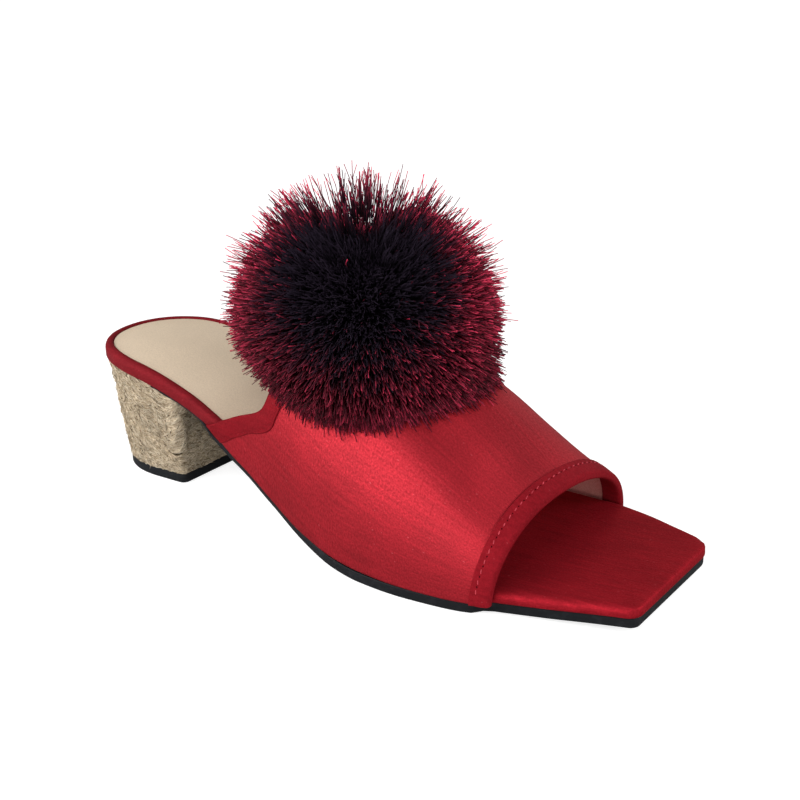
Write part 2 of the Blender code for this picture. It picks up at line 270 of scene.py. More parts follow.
def addMix(tree, factor, first, second, blend="MIX"):
    node = tree.nodes.new("ShaderNodeMix")
    node.data_type = "RGBA"
    node.blend_type = blend
    for socket, value in ((node.inputs[0], factor), (node.inputs[6], first), (node.inputs[7], second)):
        if isinstance(value, bpy.types.NodeSocket):
            tree.links.new(value, socket)
        elif np.isscalar(value):
            socket.default_value = value
        else:
            socket.default_value = (*value, 1)
    return node.outputs[2]


def addBump(tree, height, distance, strength=1.0, under=None):
    node = addNode(tree, "ShaderNodeBump", {"Distance": distance, "Strength": strength})
    tree.links.new(height, node.inputs["Height"])
    if under:
        tree.links.new(under, node.inputs["Normal"])
    return node.outputs["Normal"]


def setShader(shader, **values):  # a node's output is linked, anything else is set on the socket
    for key, value in values.items():
        socket = shader.inputs[key.replace("_", " ")]
        if isinstance(value, bpy.types.NodeSocket):
            shader.id_data.links.new(value, socket)
        else:
            socket.default_value = (*value, 1) if isinstance(value, tuple) and len(value) == 3 else value


cameraView = {
    "azimuth": 36.004, "elevation": 20.225, "roll": -1.184,
    "distance": 0.46347, "target": (0.01105, 0.00443, 0.04489), "lens": 58.503, "sensor": 36, "clipStart": 0.01,
}
lightRig = {  # one long soft box on the near side, low at the heel and high at the toe
    "lamps": {
        "key": {"from": (-0.58, -0.33, 0.10), "to": (0.36, -0.51, 0.56), "depth": 0.26, "power": 4.1},
        "fill": {"from": (0.44, -0.60, 0.15), "to": (0.82, -0.10, 0.17), "depth": 0.3, "power": 0.7},
        "back": {"from": (-0.15, 0.60, 0.20), "to": (0.22, 0.62, 0.24), "depth": 0.3, "power": 0.35},
        "far": {"from": (0.60, 0.42, 0.42), "to": (0.86, 0.04, 0.42), "depth": 0.3, "power": 3.4},
        "top": {"from": (-0.52, -0.20, 0.58), "to": (-0.10, -0.16, 0.80), "depth": 0.3, "power": 0.8},
        "bounce": {"from": (0.16, -0.60, 0.06), "to": (0.62, -0.40, 0.06), "depth": 0.1, "power": 0.5},
    },
    "aim": (0.0, 0.0, 0.04), "room": 0.2,
}
floorLook = {
    "half": 6, "drop": 0.0002, "colour": (0.5, 0.5, 0.5), "rough": 0.9, "gloss": 0.1,
    "glow": [(0.0, 1.0), (0.5, 0.8)], "glowScale": (1.5, 1.5, 1.5),
}


def makeCamera(view):
    azimuth, elevation = math.radians(view["azimuth"]), math.radians(view["elevation"])
    back = Vector((math.sin(azimuth) * math.cos(elevation),
                   -math.cos(azimuth) * math.cos(elevation), math.sin(elevation)))
    turn = back.to_track_quat("Z", "Y") @ Quaternion((0, 0, 1), math.radians(view["roll"]))
    data = bpy.data.cameras.new("photoCamera")
    data.lens = view["lens"]
    data.sensor_width = view["sensor"]
    data.clip_start = view["clipStart"]
    camera = bpy.data.objects.new("photoCamera", data)
    camera.matrix_world = Matrix.LocRotScale(Vector(view["target"]) + back * view["distance"], turn, None)
    bpy.context.scene.collection.objects.link(camera)
    bpy.context.scene.camera = camera


def makeLights(rig):
    aim = Vector(rig["aim"])
    for name, lamp in rig["lamps"].items():
        start, end = Vector(lamp["from"]), Vector(lamp["to"])
        data = bpy.data.lights.new(name + "Light", "AREA")
        data.shape = "RECTANGLE"
        data.size, data.size_y = (end - start).length, lamp["depth"]
        data.energy = lamp["power"]
        light = bpy.data.objects.new(name + "Light", data)
        place = (start + end) / 2
        across = (end - start).normalized()
        out = place - aim
        out = (out - across * out.dot(across)).normalized()
        turn = Matrix((across, out.cross(across), out)).transposed().to_quaternion()
        light.matrix_world = Matrix.LocRotScale(place, turn, None)
        bpy.context.scene.collection.objects.link(light)
    world = bpy.data.worlds.new("studio")
    world.use_nodes = True
    setShader(world.node_tree.nodes["Background"], Color=(1, 1, 1), Strength=rig["room"])
    bpy.context.scene.world = world


def makeFloor(look):
    bm = bmesh.new()
    bmesh.ops.create_grid(bm, x_segments=1, y_segments=1, size=look["half"])
    bmesh.ops.translate(bm, verts=bm.verts, vec=(0, 0, -look["drop"]))
    mesh = finishMesh(bm, "floor")
    floor = bpy.data.objects.new("floor", mesh)
    bpy.context.scene.collection.objects.link(floor)
    material, tree, shader = newMaterial("paleFloor")
    seen = tree.nodes.new("ShaderNodeLightPath")  # the paper glows for the eye only, it doesn't light the shoe
    spread = addNode(tree, "ShaderNodeMapping", {"Scale": look["glowScale"]})
    near = addNode(tree, "ShaderNodeTexGradient", gradient_type="SPHERICAL")
    glow = addNode(tree, "ShaderNodeMath", operation="MULTIPLY")
    tree.links.new(objectCoords(tree), spread.inputs["Vector"])
    tree.links.new(spread.outputs["Vector"], near.inputs["Vector"])
    tree.links.new(addRamp(tree, near.outputs["Fac"], look["glow"]), glow.inputs[0])
    tree.links.new(seen.outputs["Is Camera Ray"], glow.inputs[1])
    setShader(shader, Base_Color=look["colour"], Roughness=look["rough"], Specular_IOR_Level=look["gloss"],
              Emission_Color=(1, 1, 1), Emission_Strength=glow.outputs[0])
    mesh.materials.append(material)


bpy.context.scene.view_settings.view_transform = "Standard"
makeCamera(cameraView)
makeLights(lightRig)
makeFloor(floorLook)
print("camera, light and floor done")


satinLook = {
    "deep": (0.37, 0.012, 0.022), "mid": (0.53, 0.021, 0.035), "light": (0.70, 0.10, 0.12),
    "speckle": 1500.0, "fineHalf": 0.2, "streak": [(0.3, 0.86), (0.7, 1.14)], "cloud": [(0.3, 0.89), (0.7, 1.11)],
    "lint": [(0.80, 0.0), (0.87, 0.6)], "roughMore": [(0.3, 0.09), (0.7, -0.06)],
    "fineBump": (0.00014, 0.6), "streakBump": (0.00010, 0.25), "grain": 0.4,
    "vamp": {"shade": 0.85, "contrast": 1.3, "rough": 0.52, "lustre": 0.70, "gloss": 0.8, "tint": (0.95, 0.48, 0.48)},
    "binding": {"shade": 0.48, "contrast": 0.5, "rough": 0.74, "lustre": 0.05, "gloss": 0.08,
                "tint": (0.85, 0.12, 0.16)},
    # throat: a darker copy of the vamp's satin, painted shade from the pompom above it
    "throat": {"shade": 0.47, "contrast": 0.7, "rough": 0.6, "lustre": 0.45, "gloss": 0.2, "tint": (0.85, 0.18, 0.22)},
    # rim: a darker, duller copy of the footbed's satin for its heel part: painted shade
    "rim": {"shade": 0.41, "contrast": 0.6, "rough": 0.68, "lustre": 0.18, "gloss": 0.25, "tint": (0.85, 0.40, 0.42)},
    "footbed": {"shade": 0.72, "contrast": 0.7, "rough": 0.60, "lustre": 0.66, "gloss": 0.25,
                "tint": (0.85, 0.14, 0.18)},
}


def satinWeaveGroup():  # fine speckle, long soft streaks, rare lint and broad clouds
    group = bpy.data.node_groups.new("satinWeave", "ShaderNodeTree")
    group.interface.new_socket("Vector", in_out="INPUT", socket_type="NodeSocketVector")
    group.interface.new_socket("Scale", in_out="INPUT", socket_type="NodeSocketFloat")
    start = group.nodes.new("NodeGroupInput")
    end = group.nodes.new("NodeGroupOutput")
    for name, stretch, share, detail in (("Speckle", (1, 1, 1), 1.0, 2.0), ("Streak", (0.04, 1, 1), 0.6, 2.0),
                                         ("Lint", (0.5, 1, 1), 1.1, 0.0), ("Cloud", (1, 1, 1), 0.028, 3.0)):
        group.interface.new_socket(name, in_out="OUTPUT", socket_type="NodeSocketFloat")
        mapping = addNode(group, "ShaderNodeMapping", {"Scale": stretch})
        scale = addNode(group, "ShaderNodeMath", {1: share}, operation="MULTIPLY")
        texture = addNode(group, "ShaderNodeTexNoise", {"Detail": detail, "Roughness": 0.65})
        group.links.new(start.outputs["Vector"], mapping.inputs["Vector"])
        group.links.new(start.outputs["Scale"], scale.inputs[0])
        group.links.new(mapping.outputs["Vector"], texture.inputs["Vector"])
        group.links.new(scale.outputs[0], texture.inputs["Scale"])
        group.links.new(texture.outputs["Fac"], end.inputs[name])
    return group


satinWeave = satinWeaveGroup()


def satinMaterial(name, finish, useUv=False):
    look = satinLook
    material, tree, shader = newMaterial(name)
    coords = tree.nodes.new("ShaderNodeTexCoord")
    weave = tree.nodes.new("ShaderNodeGroup")
    weave.node_tree = satinWeave
    weave.inputs["Scale"].default_value = look["speckle"]
    tree.links.new(coords.outputs["UV" if useUv else "Object"], weave.inputs["Vector"])
    speckle, streak, lint, cloud = (weave.outputs[key] for key in ("Speckle", "Streak", "Lint", "Cloud"))
    deep, mid, light = (tuple(finish["shade"] * c for c in look[key]) for key in ("deep", "mid", "light"))
    half = look["fineHalf"] / finish["contrast"]
    shaded = addRamp(tree, speckle, [(0.5 - half, deep), (0.5 + half, mid)])
    shaded = addMix(tree, 1.0, shaded, addRamp(tree, streak, look["streak"]), "MULTIPLY")
    shaded = addMix(tree, 1.0, shaded, addRamp(tree, cloud, look["cloud"]), "MULTIPLY")
    rough = addRamp(tree, speckle, [(place, finish["rough"] + more) for place, more in look["roughMore"]])
    fineBump = addBump(tree, speckle, *look["fineBump"])
    setShader(shader, Base_Color=addMix(tree, addRamp(tree, lint, look["lint"]), shaded, light), Roughness=rough,
              Normal=addBump(tree, streak, *look["streakBump"], fineBump),
              Metallic=finish["lustre"], Specular_Tint=finish["tint"], Specular_IOR_Level=finish["gloss"])
    if useUv:
        grain = addNode(tree, "ShaderNodeTangent", direction_type="UV_MAP", uv_map="cloth")
        setShader(shader, Tangent=grain.outputs["Tangent"], Anisotropic=look["grain"])
    return material


leatherLook = {  # the ground's colour and the pores' for each leather
    "lining": ((0.64, 0.25, 0.22), (0.52, 0.18, 0.16)), "sock": ((0.80, 0.65, 0.48), (0.685, 0.55, 0.405)),
    "faded": 0.93, "clouds": [(0.32, 0.0), (0.68, 1.0)], "pores": [(0.35, 0.0), (0.62, 1.0)],
    "grainScale": 900.0, "poreScale": 2200.0, "cloudScale": 45.0,
    "grainBump": (0.00010, 0.35), "poreBump": (0.00005, 0.3), "rough": [(0.3, 0.62), (0.7, 0.5)], "gloss": 0.35,
}


def leatherMaterial(name, colour, dark):
    look = leatherLook
    material, tree, shader = newMaterial(name)
    coords = objectCoords(tree)
    grain = addNode(tree, "ShaderNodeTexVoronoi", {"Scale": look["grainScale"]}, feature="SMOOTH_F1")
    tree.links.new(coords, grain.inputs["Vector"])
    pores = addNoise(tree, coords, look["poreScale"], 2.0)
    cloud = addNoise(tree, coords, look["cloudScale"], 4.0, 0.6)
    faded = tuple(look["faded"] * c for c in colour)
    ground = addMix(tree, addRamp(tree, cloud, look["clouds"]), faded, colour)
    grainBump = addBump(tree, grain.outputs["Distance"], *look["grainBump"])
    setShader(shader, Base_Color=addMix(tree, addRamp(tree, pores, look["pores"]), dark, ground),
              Roughness=addRamp(tree, cloud, look["rough"]),
              Normal=addBump(tree, pores, *look["poreBump"], grainBump), Specular_IOR_Level=look["gloss"])
    return material


rubberLook = {
    "colour": (0.007, 0.008, 0.010), "scuff": (0.022, 0.023, 0.027), "worn": [(0.52, 0.0), (0.80, 1.0)],
    "mottleScale": 260.0, "gritScale": 1800.0, "gritBump": (0.00008, 0.4),
    "rough": [(0.3, 0.56), (0.7, 0.70)], "gloss": 0.18,
}


def rubberMaterial(name, look):
    material, tree, shader = newMaterial(name)
    coords = objectCoords(tree)
    mottle = addNoise(tree, coords, look["mottleScale"], 4.0, 0.65)
    grit = addNoise(tree, coords, look["gritScale"], 2.0)
    worn = addRamp(tree, mottle, look["worn"])
    setShader(shader, Base_Color=addMix(tree, worn, look["colour"], look["scuff"]),
              Roughness=addRamp(tree, mottle, look["rough"]),
              Normal=addBump(tree, grit, *look["gritBump"]), Specular_IOR_Level=look["gloss"])
    return material


vampSatin = satinMaterial("vampSatin", satinLook["vamp"], useUv=True)
bindingSatin = satinMaterial("bindingSatin", satinLook["binding"])
footbedSatin = satinMaterial("footbedSatin", satinLook["footbed"])
shadedRimSatin = satinMaterial("shadedRimSatin", satinLook["rim"])
# the throat band and its stitches wear this darker copy: painted shade
shadedThroatSatin = satinMaterial("shadedThroatSatin", satinLook["throat"])
liningLeather = leatherMaterial("liningLeather", *leatherLook["lining"])
sockLeather = leatherMaterial("sockLeather", *leatherLook["sock"])
soleRubber = rubberMaterial("soleRubber", rubberLook)
print("satin, leather and rubber done")


def vampOutset(x, angle):
    outset = np.zeros_like(x)
    for degrees, place, length, width, depth in vampShape["swells"]:
        along = (x - place) / length
        across = (np.degrees(angle) - degrees) * vampShape["mmPerDegree"] / width
        outset += depth * np.exp(-along ** 2 - across ** 2)
    return outset


def gridMesh(bm, columns, rows, place):
    bmesh.ops.create_grid(bm, x_segments=columns, y_segments=rows, size=1)
    flat = np.array([vert.co[:2] for vert in bm.verts])
    points, cloth = place((flat[:, 0] + 1) / 2, (flat[:, 1] + 1) / 2)
    for vert, point in zip(bm.verts, points):
        vert.co = point
    layer = bm.loops.layers.uv.new("cloth")
    for face in bm.faces:
        for loop in face.loops:
            loop[layer].uv = cloth[loop.vert.index]


def placeVamp(alongShare, aroundShare):
    angle = archAngle(aroundShare)
    x = throatEdge(angle) + alongShare * (frontEdge(angle) - throatEdge(angle))
    points = archPoint(x, angle, vampOutset(x, angle))
    cloth = np.stack([x, angle * vampShape["clothPerRadian"]], axis=1) * 0.001
    return toRow(points), cloth


def makeVamp():
    bm = bmesh.new()
    gridMesh(bm, vampShape["along"], vampShape["around"], placeVamp)
    mesh = finishMesh(bm, "vamp", 60)
    vamp = addPiece(mesh, "vamp", ["upper"], [vampSatin, liningLeather])
    wall = vamp.modifiers.new("wall", "SOLIDIFY")
    wall.thickness = vampShape["wall"] * 0.001
    wall.offset = -1
    wall.material_offset = 1


makeVamp()
print("vamp done")


bindingShape = {
    "toe": {"edge": frontEdge, "into": -1, "width": 5.1, "thick": 0.7, "roll": 1.7, "along": 240,
            "stitchDepth": 2.9, "stitchPitch": 3.3, "pull": 1.0, "cloth": bindingSatin},
    "throat": {"edge": throatEdge, "into": 1, "width": 6.9, "thick": 0.3, "roll": 0.72, "along": 260,
               "stitchDepth": 5.8, "stitchPitch": 2.7, "pull": 0.5, "cloth": shadedThroatSatin},
    "gap": 0.3, "innerWidth": 6.0, "innerThick": 0.6, "tuck": 0.28,
    "pullWidth": 0.7, "pullDepth": 0.20, "pullBeat": 0.12,
    "toeStitch": (1.5, 0.2, 0.2), "toeHole": (0.75, 0.22, 0.1), "throatStitch": (1.5, 0.16, 0.14),  # long, wide, thick
    "stitchSlant": 12.0, "slantNoise": 4.0, "placeNoise": 0.07, "stitchMargin": 3.0,
    "thread": ((0.36, 0.022, 0.038), (0.66, 0.060, 0.085)), "threadGloss": 0.3,
    # hole: near-black blobs set in the needle holes, painted shade
    "holeShade": ((0.020, 0.001, 0.002), (0.045, 0.002, 0.004)), "holeGloss": 0.0,
}


def edgeStretch(edge, angle):
    small = math.radians(1)
    low, high = np.maximum(angle - small, 0), np.minimum(angle + small, math.pi)
    alongEdge = archPoint(edge(high), high) - archPoint(edge(low), low)
    x = edge(angle)
    alongShoe = archPoint(x + 1, angle) - archPoint(x - 1, angle)
    crossed = np.linalg.norm(np.cross(alongEdge, alongShoe), axis=-1)
    return np.linalg.norm(alongEdge, axis=-1) * np.abs(alongShoe[..., 0]) / crossed


def bindingProfile(width, thick, roll):
    gap, tuck, innerWidth = bindingShape["gap"], bindingShape["tuck"], bindingShape["innerWidth"]
    proud, inside = gap + thick, -vampShape["wall"] - gap
    leg = inside - bindingShape["innerThick"]
    corners = [(width, gap - tuck), (width - 0.12, proud - 0.1), (width - 1.2, proud),  # over the top of the vamp
               (width * 0.5, proud + 0.25 * thick), (0.6, proud),
               (-0.7 * roll, proud - 0.12), (-roll, proud - 0.9), (-roll, 0.75 * inside),  # round its edge
               (-0.3 * roll, leg), (innerWidth, leg), (innerWidth, inside), (-gap, inside), (-gap, gap - tuck)]
    points = np.array(corners)
    for _ in range(2):  # cut the corners round
        after = np.roll(points, -1, axis=0)
        points = np.stack([0.8 * points + 0.2 * after, 0.2 * points + 0.8 * after], axis=1).reshape(-1, 2)
    return points


def edgeLength(edge, depth, into, count=600):
    angle = archAngle(np.linspace(0, 1, count))
    points = archPoint(edge(angle) + into * depth * edgeStretch(edge, angle), angle)
    run = np.concatenate([[0], np.cumsum(np.linalg.norm(np.diff(points, axis=0), axis=1))])
    return angle, run


def makeBinding(name, node, shape):
    profile = bindingProfile(shape["width"], shape["thick"], shape["roll"])
    profile = np.concatenate([profile, profile[:1]])
    angles, run = edgeLength(shape["edge"], shape["stitchDepth"], shape["into"])

    def placeBinding(aroundShare, alongShare):
        angle = archAngle(alongShare)
        spot = aroundShare * (len(profile) - 1)
        depth = np.interp(spot, np.arange(len(profile)), profile[:, 0])
        outset = np.interp(spot, np.arange(len(profile)), profile[:, 1])
        beat = 2 * math.pi * np.interp(angle, angles, run) / shape["stitchPitch"]
        seam = np.exp(-((depth - shape["stitchDepth"]) / bindingShape["pullWidth"]) ** 2) * (outset > 0)
        pulled = bindingShape["pullDepth"] + bindingShape["pullBeat"] * np.cos(beat)
        outset = outset - seam * shape["pull"] * pulled
        x = shape["edge"](angle) + shape["into"] * depth * edgeStretch(shape["edge"], angle)
        points = archPoint(x, angle, outset)
        return toRow(points), np.stack([depth, angle * vampShape["clothPerRadian"]], axis=1) * 0.001

    bm = bmesh.new()
    gridMesh(bm, len(profile) - 1, shape["along"], placeBinding)
    bmesh.ops.remove_doubles(bm, verts=bm.verts, dist=1e-7)
    bmesh.ops.holes_fill(bm, edges=[edge for edge in bm.edges if edge.is_boundary], sides=0)
    bmesh.ops.recalc_face_normals(bm, faces=bm.faces)
    addPiece(finishMesh(bm, name, 50), name, [node], [shape["cloth"]])


def stitchMaterial(name, colours, gloss):
    material, tree, shader = newMaterial(name)
    twist = addNoise(tree, objectCoords(tree), 1100.0, 2.0)
    setShader(shader, Base_Color=addRamp(tree, twist, list(zip((0.38, 0.66), colours))),
              Normal=addBump(tree, twist, 0.0001, 0.5), Roughness=0.55, Specular_IOR_Level=gloss)
    return material


stitchThread = stitchMaterial("stitchThread", bindingShape["thread"], bindingShape["threadGloss"])
needleHoleShade = stitchMaterial("needleHoleShade", bindingShape["holeShade"], bindingShape["holeGloss"])


def makeStitches(name, shape, material, shift, size, sink):
    edge, into, depth = shape["edge"], shape["into"], shape["stitchDepth"]
    angles, run = edgeLength(edge, depth, into)
    pitch, margin = shape["stitchPitch"], bindingShape["stitchMargin"]
    proud = bindingShape["gap"] + shape["thick"] - sink

    def stitchPoint(length, off):
        angle = np.interp(length, run, angles)
        x = edge(angle) + into * (depth + off) * edgeStretch(edge, angle)
        return Vector(toRow(archPoint(x, angle, proud)))

    bm = bmesh.new()
    long, wide, thick = size
    for i in range(int((run[-1] - 2 * margin) / pitch)):
        middle = margin + (i + shift) * pitch + rng.normal(0, bindingShape["placeNoise"])
        lean = bindingShape["stitchSlant"] + rng.normal(0, bindingShape["slantNoise"])
        slant = long / 2 * math.tan(math.radians(lean))
        start, end = stitchPoint(middle - long / 2, -slant), stitchPoint(middle + long / 2, slant)
        beside = stitchPoint(middle, 1.0) - (start + end) / 2
        along = (end - start).normalized()
        out = along.cross(beside).normalized()
        turn = Matrix((along.cross(out), out, along)).transposed().to_quaternion()
        scale = Vector((wide, thick, long / 2)) * 0.001
        bmesh.ops.create_uvsphere(bm, u_segments=8, v_segments=6, radius=1,
                                  matrix=Matrix.LocRotScale((start + end) / 2, turn, scale))
    bmesh.ops.recalc_face_normals(bm, faces=bm.faces)
    addPiece(finishMesh(bm, name, 180), name, (), [material])


makeBinding("toeBinding", "toe_binding", bindingShape["toe"])
makeBinding("throatBinding", "throat_binding", bindingShape["throat"])
makeStitches("toeStitches", bindingShape["toe"], stitchThread, 0.5, bindingShape["toeStitch"], 0.0)
# dark blobs at the needle holes: painted shade
makeStitches("toeNeedleHoleShades", bindingShape["toe"], needleHoleShade, 1.0, bindingShape["toeHole"], 0.16)
makeStitches("throatStitches", bindingShape["throat"], shadedThroatSatin, 0.5, bindingShape["throatStitch"], 0.12)
print("bindings and stitches done")


plateShape = {  # flat plates, bent to the last's profile
    "footbed": {"thick": 5.0, "topEdge": 2.2, "toeEdge": 3.5, "toeStart": 150.0, "bottomEdge": 0.5,
                "rim": 2.8, "lip": (0.35, 0.2), "pocketWall": 0.25, "pocket": 1.55, "pocketEnd": (176, 160),
                "pocketStop": 181.0, "frontSpan": (240.8, 243.4)},
    "sock": {"thick": 0.9, "edge": 0.35, "border": 3.45, "front": 172.0, "corner": 6.0, "bed": 0.03},
    "outsole": {"thick": 2.5, "edge": 0.45, "topEdge": 0.2, "tail": 40.5, "corners": (3.0, 6.0),
                "drop": [(40.5, 0.12), (46, 1.7), (54, 1.3), (70, 1.4), (84, 3.0), (95, 3.1), (120, 2.8), (246, 2.8)],
                "lip": 0.8, "lipSpan": (95, 150, 193, 198), "lipWidth": 2.2, "seatStep": (0.2, 0.3), "gap": 0.05,
                "toeRise": 0.8, "toeSpan": (193, 200),
                "grow": [(30, -1.3), (54, -1.0), (64, -0.8), (74, 1.8), (105, 2.0), (140, 2.6), (193, 2.6),
                         (199, -0.7), (246, -0.7)]},
    "station": 2.5,
}


def flatPlate(loop, thick):
    bm = bmesh.new()
    base = bm.faces.new([bm.verts.new((x, y, 0)) for x, y in loop])
    grown = bmesh.ops.extrude_face_region(bm, geom=[base])
    lifted = [part for part in grown["geom"] if isinstance(part, bmesh.types.BMVert)]
    bmesh.ops.translate(bm, verts=lifted, vec=(0, 0, thick))
    bmesh.ops.recalc_face_normals(bm, faces=bm.faces)
    return bm


def roundEdges(bm, height, radius, segments, low=-10.0, high=300.0):
    edges = [edge for edge in bm.edges if all(abs(vert.co.z - height) < 1e-4 for vert in edge.verts)
             and low < max(vert.co.x for vert in edge.verts) <= high]
    bmesh.ops.bevel(bm, geom=edges, offset=radius, offset_type="OFFSET", affect="EDGES",
                    segments=segments, profile=0.5, material=-1)


def largestFaceAt(bm, height):
    level = [face for face in bm.faces if all(abs(vert.co.z - height) < 1e-4 for vert in face.verts)]
    return max(level, key=lambda face: face.calc_area())


def bendPlate(bm, bend):
    low = min(vert.co.x for vert in bm.verts)
    high = max(vert.co.x for vert in bm.verts)
    for x in np.arange(low + 1.0, high - 0.5, plateShape["station"]):
        geom = bm.verts[:] + bm.edges[:] + bm.faces[:]
        bmesh.ops.bisect_plane(bm, geom=geom, dist=1e-5, plane_co=(x, 0, 0), plane_no=(1, 0, 0))
    flat = np.array([vert.co for vert in bm.verts])
    for vert, point in zip(bm.verts, toRow(bend(flat))):
        vert.co = point


def toeRise(x):  # at the toe the sole's edge shows more
    return plateShape["outsole"]["toeRise"] * smoothStep(*plateShape["outsole"]["toeSpan"], x)


def makeFootbed(shape):
    bm = flatPlate(planLoop(), shape["thick"])
    roundEdges(bm, shape["thick"], shape["topEdge"], 5, high=shape["toeStart"])
    roundEdges(bm, shape["thick"], shape["toeEdge"], 8, low=shape["toeStart"])
    roundEdges(bm, 0, shape["bottomEdge"], 2)
    bmesh.ops.remove_doubles(bm, verts=bm.verts, dist=1e-3)
    bmesh.ops.bisect_plane(bm, geom=bm.verts[:] + bm.edges[:] + bm.faces[:], dist=1e-5,
                           plane_co=(shape["pocketStop"], 0, 0), plane_no=(1, 0, 0))
    top = largestFaceAt(bm, shape["thick"])
    bmesh.ops.inset_region(bm, faces=[top], thickness=shape["rim"] - shape["topEdge"])
    lipWidth, lipDrop = shape["lip"]
    bmesh.ops.inset_region(bm, faces=[top], thickness=lipWidth, depth=-lipDrop)
    bmesh.ops.inset_region(bm, faces=[top], thickness=shape["pocketWall"], depth=lipDrop - shape["pocket"])

    def bend(flat):
        x, y, z = flat.T
        fade = smoothStep(shape["pocketEnd"][1], shape["pocketEnd"][0], x)
        inner = (z > 0.6 * shape["thick"]) & insideRim(x, y, shape["rim"]) & (x < shape["pocketStop"])
        level = np.where(inner, z + fade * (shape["thick"] - z), z) / shape["thick"]
        drop = np.clip((1 - level) * shape["thick"] / shape["toeEdge"], 0, 1)
        crisp = 1 - (1 - (1 - (1 - drop) ** 2) ** 2) ** 0.25  # the same roll, drawn tighter to the front edge
        roll = smoothStep(*shape["frontSpan"], x) * (level > 0.3)
        level += roll * (drop - crisp) * shape["toeEdge"] / shape["thick"]
        rise = toeRise(x)
        return np.stack([x, y, footbedBottom(x) + rise + level * (lastAt("thick", x) - rise)], axis=1)

    bendPlate(bm, bend)
    # faces behind the seam take the darker rim copy: painted shade on the heel's rim
    seam = toRow((shape["toeStart"], 0, 0))[0]
    for face in bm.faces:
        face.material_index = int(face.calc_center_median().x < seam)
    addPiece(finishMesh(bm, "footbedWrap", 35), "footbedWrap", ["footbed"], [footbedSatin, shadedRimSatin])


def insideRim(x, y, rim):
    side = np.where(y < 0, lastAt("medial", x), lastAt("lateral", x))
    arc = lastShape["heelArc"]
    back = np.clip((arc - x) / arc, 0, 1)
    side = side * (1 - back ** lastShape["heelRoundness"]) ** (1 / lastShape["heelRoundness"])
    return np.abs(y) < side - 0.85 * rim


def makeSock(shape):
    end = (shape["front"] + shape["border"], shape["corner"])
    loop = grownLoop(planLoop(end, end), -shape["border"])
    bm = flatPlate(loop, shape["thick"])
    roundEdges(bm, shape["thick"], shape["edge"], 3)

    def bend(flat):
        x, y, z = flat.T
        return np.stack([x, y, lastAt("top", x) - plateShape["footbed"]["pocket"] + shape["bed"] + z], axis=1)

    bendPlate(bm, bend)
    addPiece(finishMesh(bm, "sockLeather", 35), "sockLeather", ["sock_lining"], [sockLeather])


def outsoleBottom(x):
    shape = plateShape["outsole"]
    return footbedBottom(x) - np.interp(x, *smoothColumn(shape["drop"], 1))


def makeOutsole(shape):
    medialCorner, lateralCorner = shape["corners"]
    loop = planLoop((lastShape["toeMedial"][0], medialCorner), (lastShape["toeLateral"][0], lateralCorner),
                    start=shape["tail"])
    loop = grownLoop(loop, np.interp(loop[:, 0], *smoothColumn(shape["grow"], 1)))
    bm = flatPlate(loop, shape["thick"])
    roundEdges(bm, 0, shape["edge"], 2)
    roundEdges(bm, shape["thick"], shape["topEdge"], 1)
    top = largestFaceAt(bm, shape["thick"])
    stepWidth, stepDrop = shape["seatStep"]  # marks where the footbed sits
    bmesh.ops.inset_region(bm, faces=[top], thickness=shape["lipWidth"] - (shape["topEdge"] + stepWidth))
    bmesh.ops.inset_region(bm, faces=[top], thickness=stepWidth, depth=-stepDrop)

    def bend(flat):
        x, y, z = flat.T
        low, high = outsoleBottom(x), footbedBottom(x) + toeRise(x) - shape["gap"]
        start, full, stay, stop = shape["lipSpan"]
        lip = shape["lip"] * smoothStep(start, full, x) * smoothStep(stop, stay, x)
        seat = (z > 0.8 * shape["thick"]) & (z < shape["thick"] - 0.25)
        raised = low + z / shape["thick"] * (high + lip - low)
        return np.stack([x, y, np.where(seat, high, raised)], axis=1)

    bendPlate(bm, bend)
    addPiece(finishMesh(bm, "outsoleRubber", 35), "outsoleRubber", ["outsole"], [soleRubber])


makeFootbed(plateShape["footbed"])
makeSock(plateShape["sock"])
makeOutsole(plateShape["outsole"])
print("footbed, sock and outsole done")


heelShape = {
    "inset": 1.2, "breastTop": 53.5, "breastFoot": 46.5, "backFoot": 4.4, "footHalfWidth": 21.6,
    "corner": 4.5, "sideSteps": 26, "lift": 3.8, "liftEdges": (0.5, 0.3), "liftSteps": 160, "gap": 0.05,
    "around": 340, "rows": 84,
}


def heelLoops():
    shape = heelShape
    end = (shape["breastTop"], shape["corner"])
    top = grownLoop(planLoop(end, end, shape["sideSteps"]), -shape["inset"])
    back, breast = top[:, 0].min(), top[:, 0].max()
    footLength = shape["breastFoot"] - shape["backFoot"]
    foot = top.copy()
    foot[:, 0] = shape["backFoot"] + (top[:, 0] - back) * footLength / (breast - back)
    foot[:, 1] *= shape["footHalfWidth"] / np.abs(top[:, 1]).max()
    return top, foot


def loopRun(loop):
    closed = np.concatenate([loop, loop[:1]])
    return closed, np.concatenate([[0], np.cumsum(np.linalg.norm(np.diff(closed, axis=0), axis=1))])


def evenLoop(loop, share):
    closed, run = loopRun(loop)
    spot = (share % 1.0) * run[-1]
    return np.stack([np.interp(spot, run, closed[:, 0]), np.interp(spot, run, closed[:, 1])], axis=1)


def heelTop(x):
    return np.minimum(footbedBottom(x), outsoleBottom(x)) - heelShape["gap"]


def heelPoint(around, up, outset=0.0):
    top, foot = heelLoops()
    topSpot, footSpot = evenLoop(top, around), evenLoop(foot, around)
    base = heelShape["lift"] + heelShape["gap"]
    beside = 0.004  # share of the way round
    ahead = evenLoop(top, around + beside) - evenLoop(top, around - beside)
    outward = np.stack([ahead[:, 1], -ahead[:, 0]], axis=1)
    outward /= np.linalg.norm(outward, axis=1, keepdims=True)
    flat = footSpot + up[:, None] * (topSpot - footSpot) + outward * np.reshape(outset, (-1, 1))
    height = base + up * (heelTop(topSpot[:, 0]) - base)
    return np.concatenate([flat, height[:, None]], axis=1)


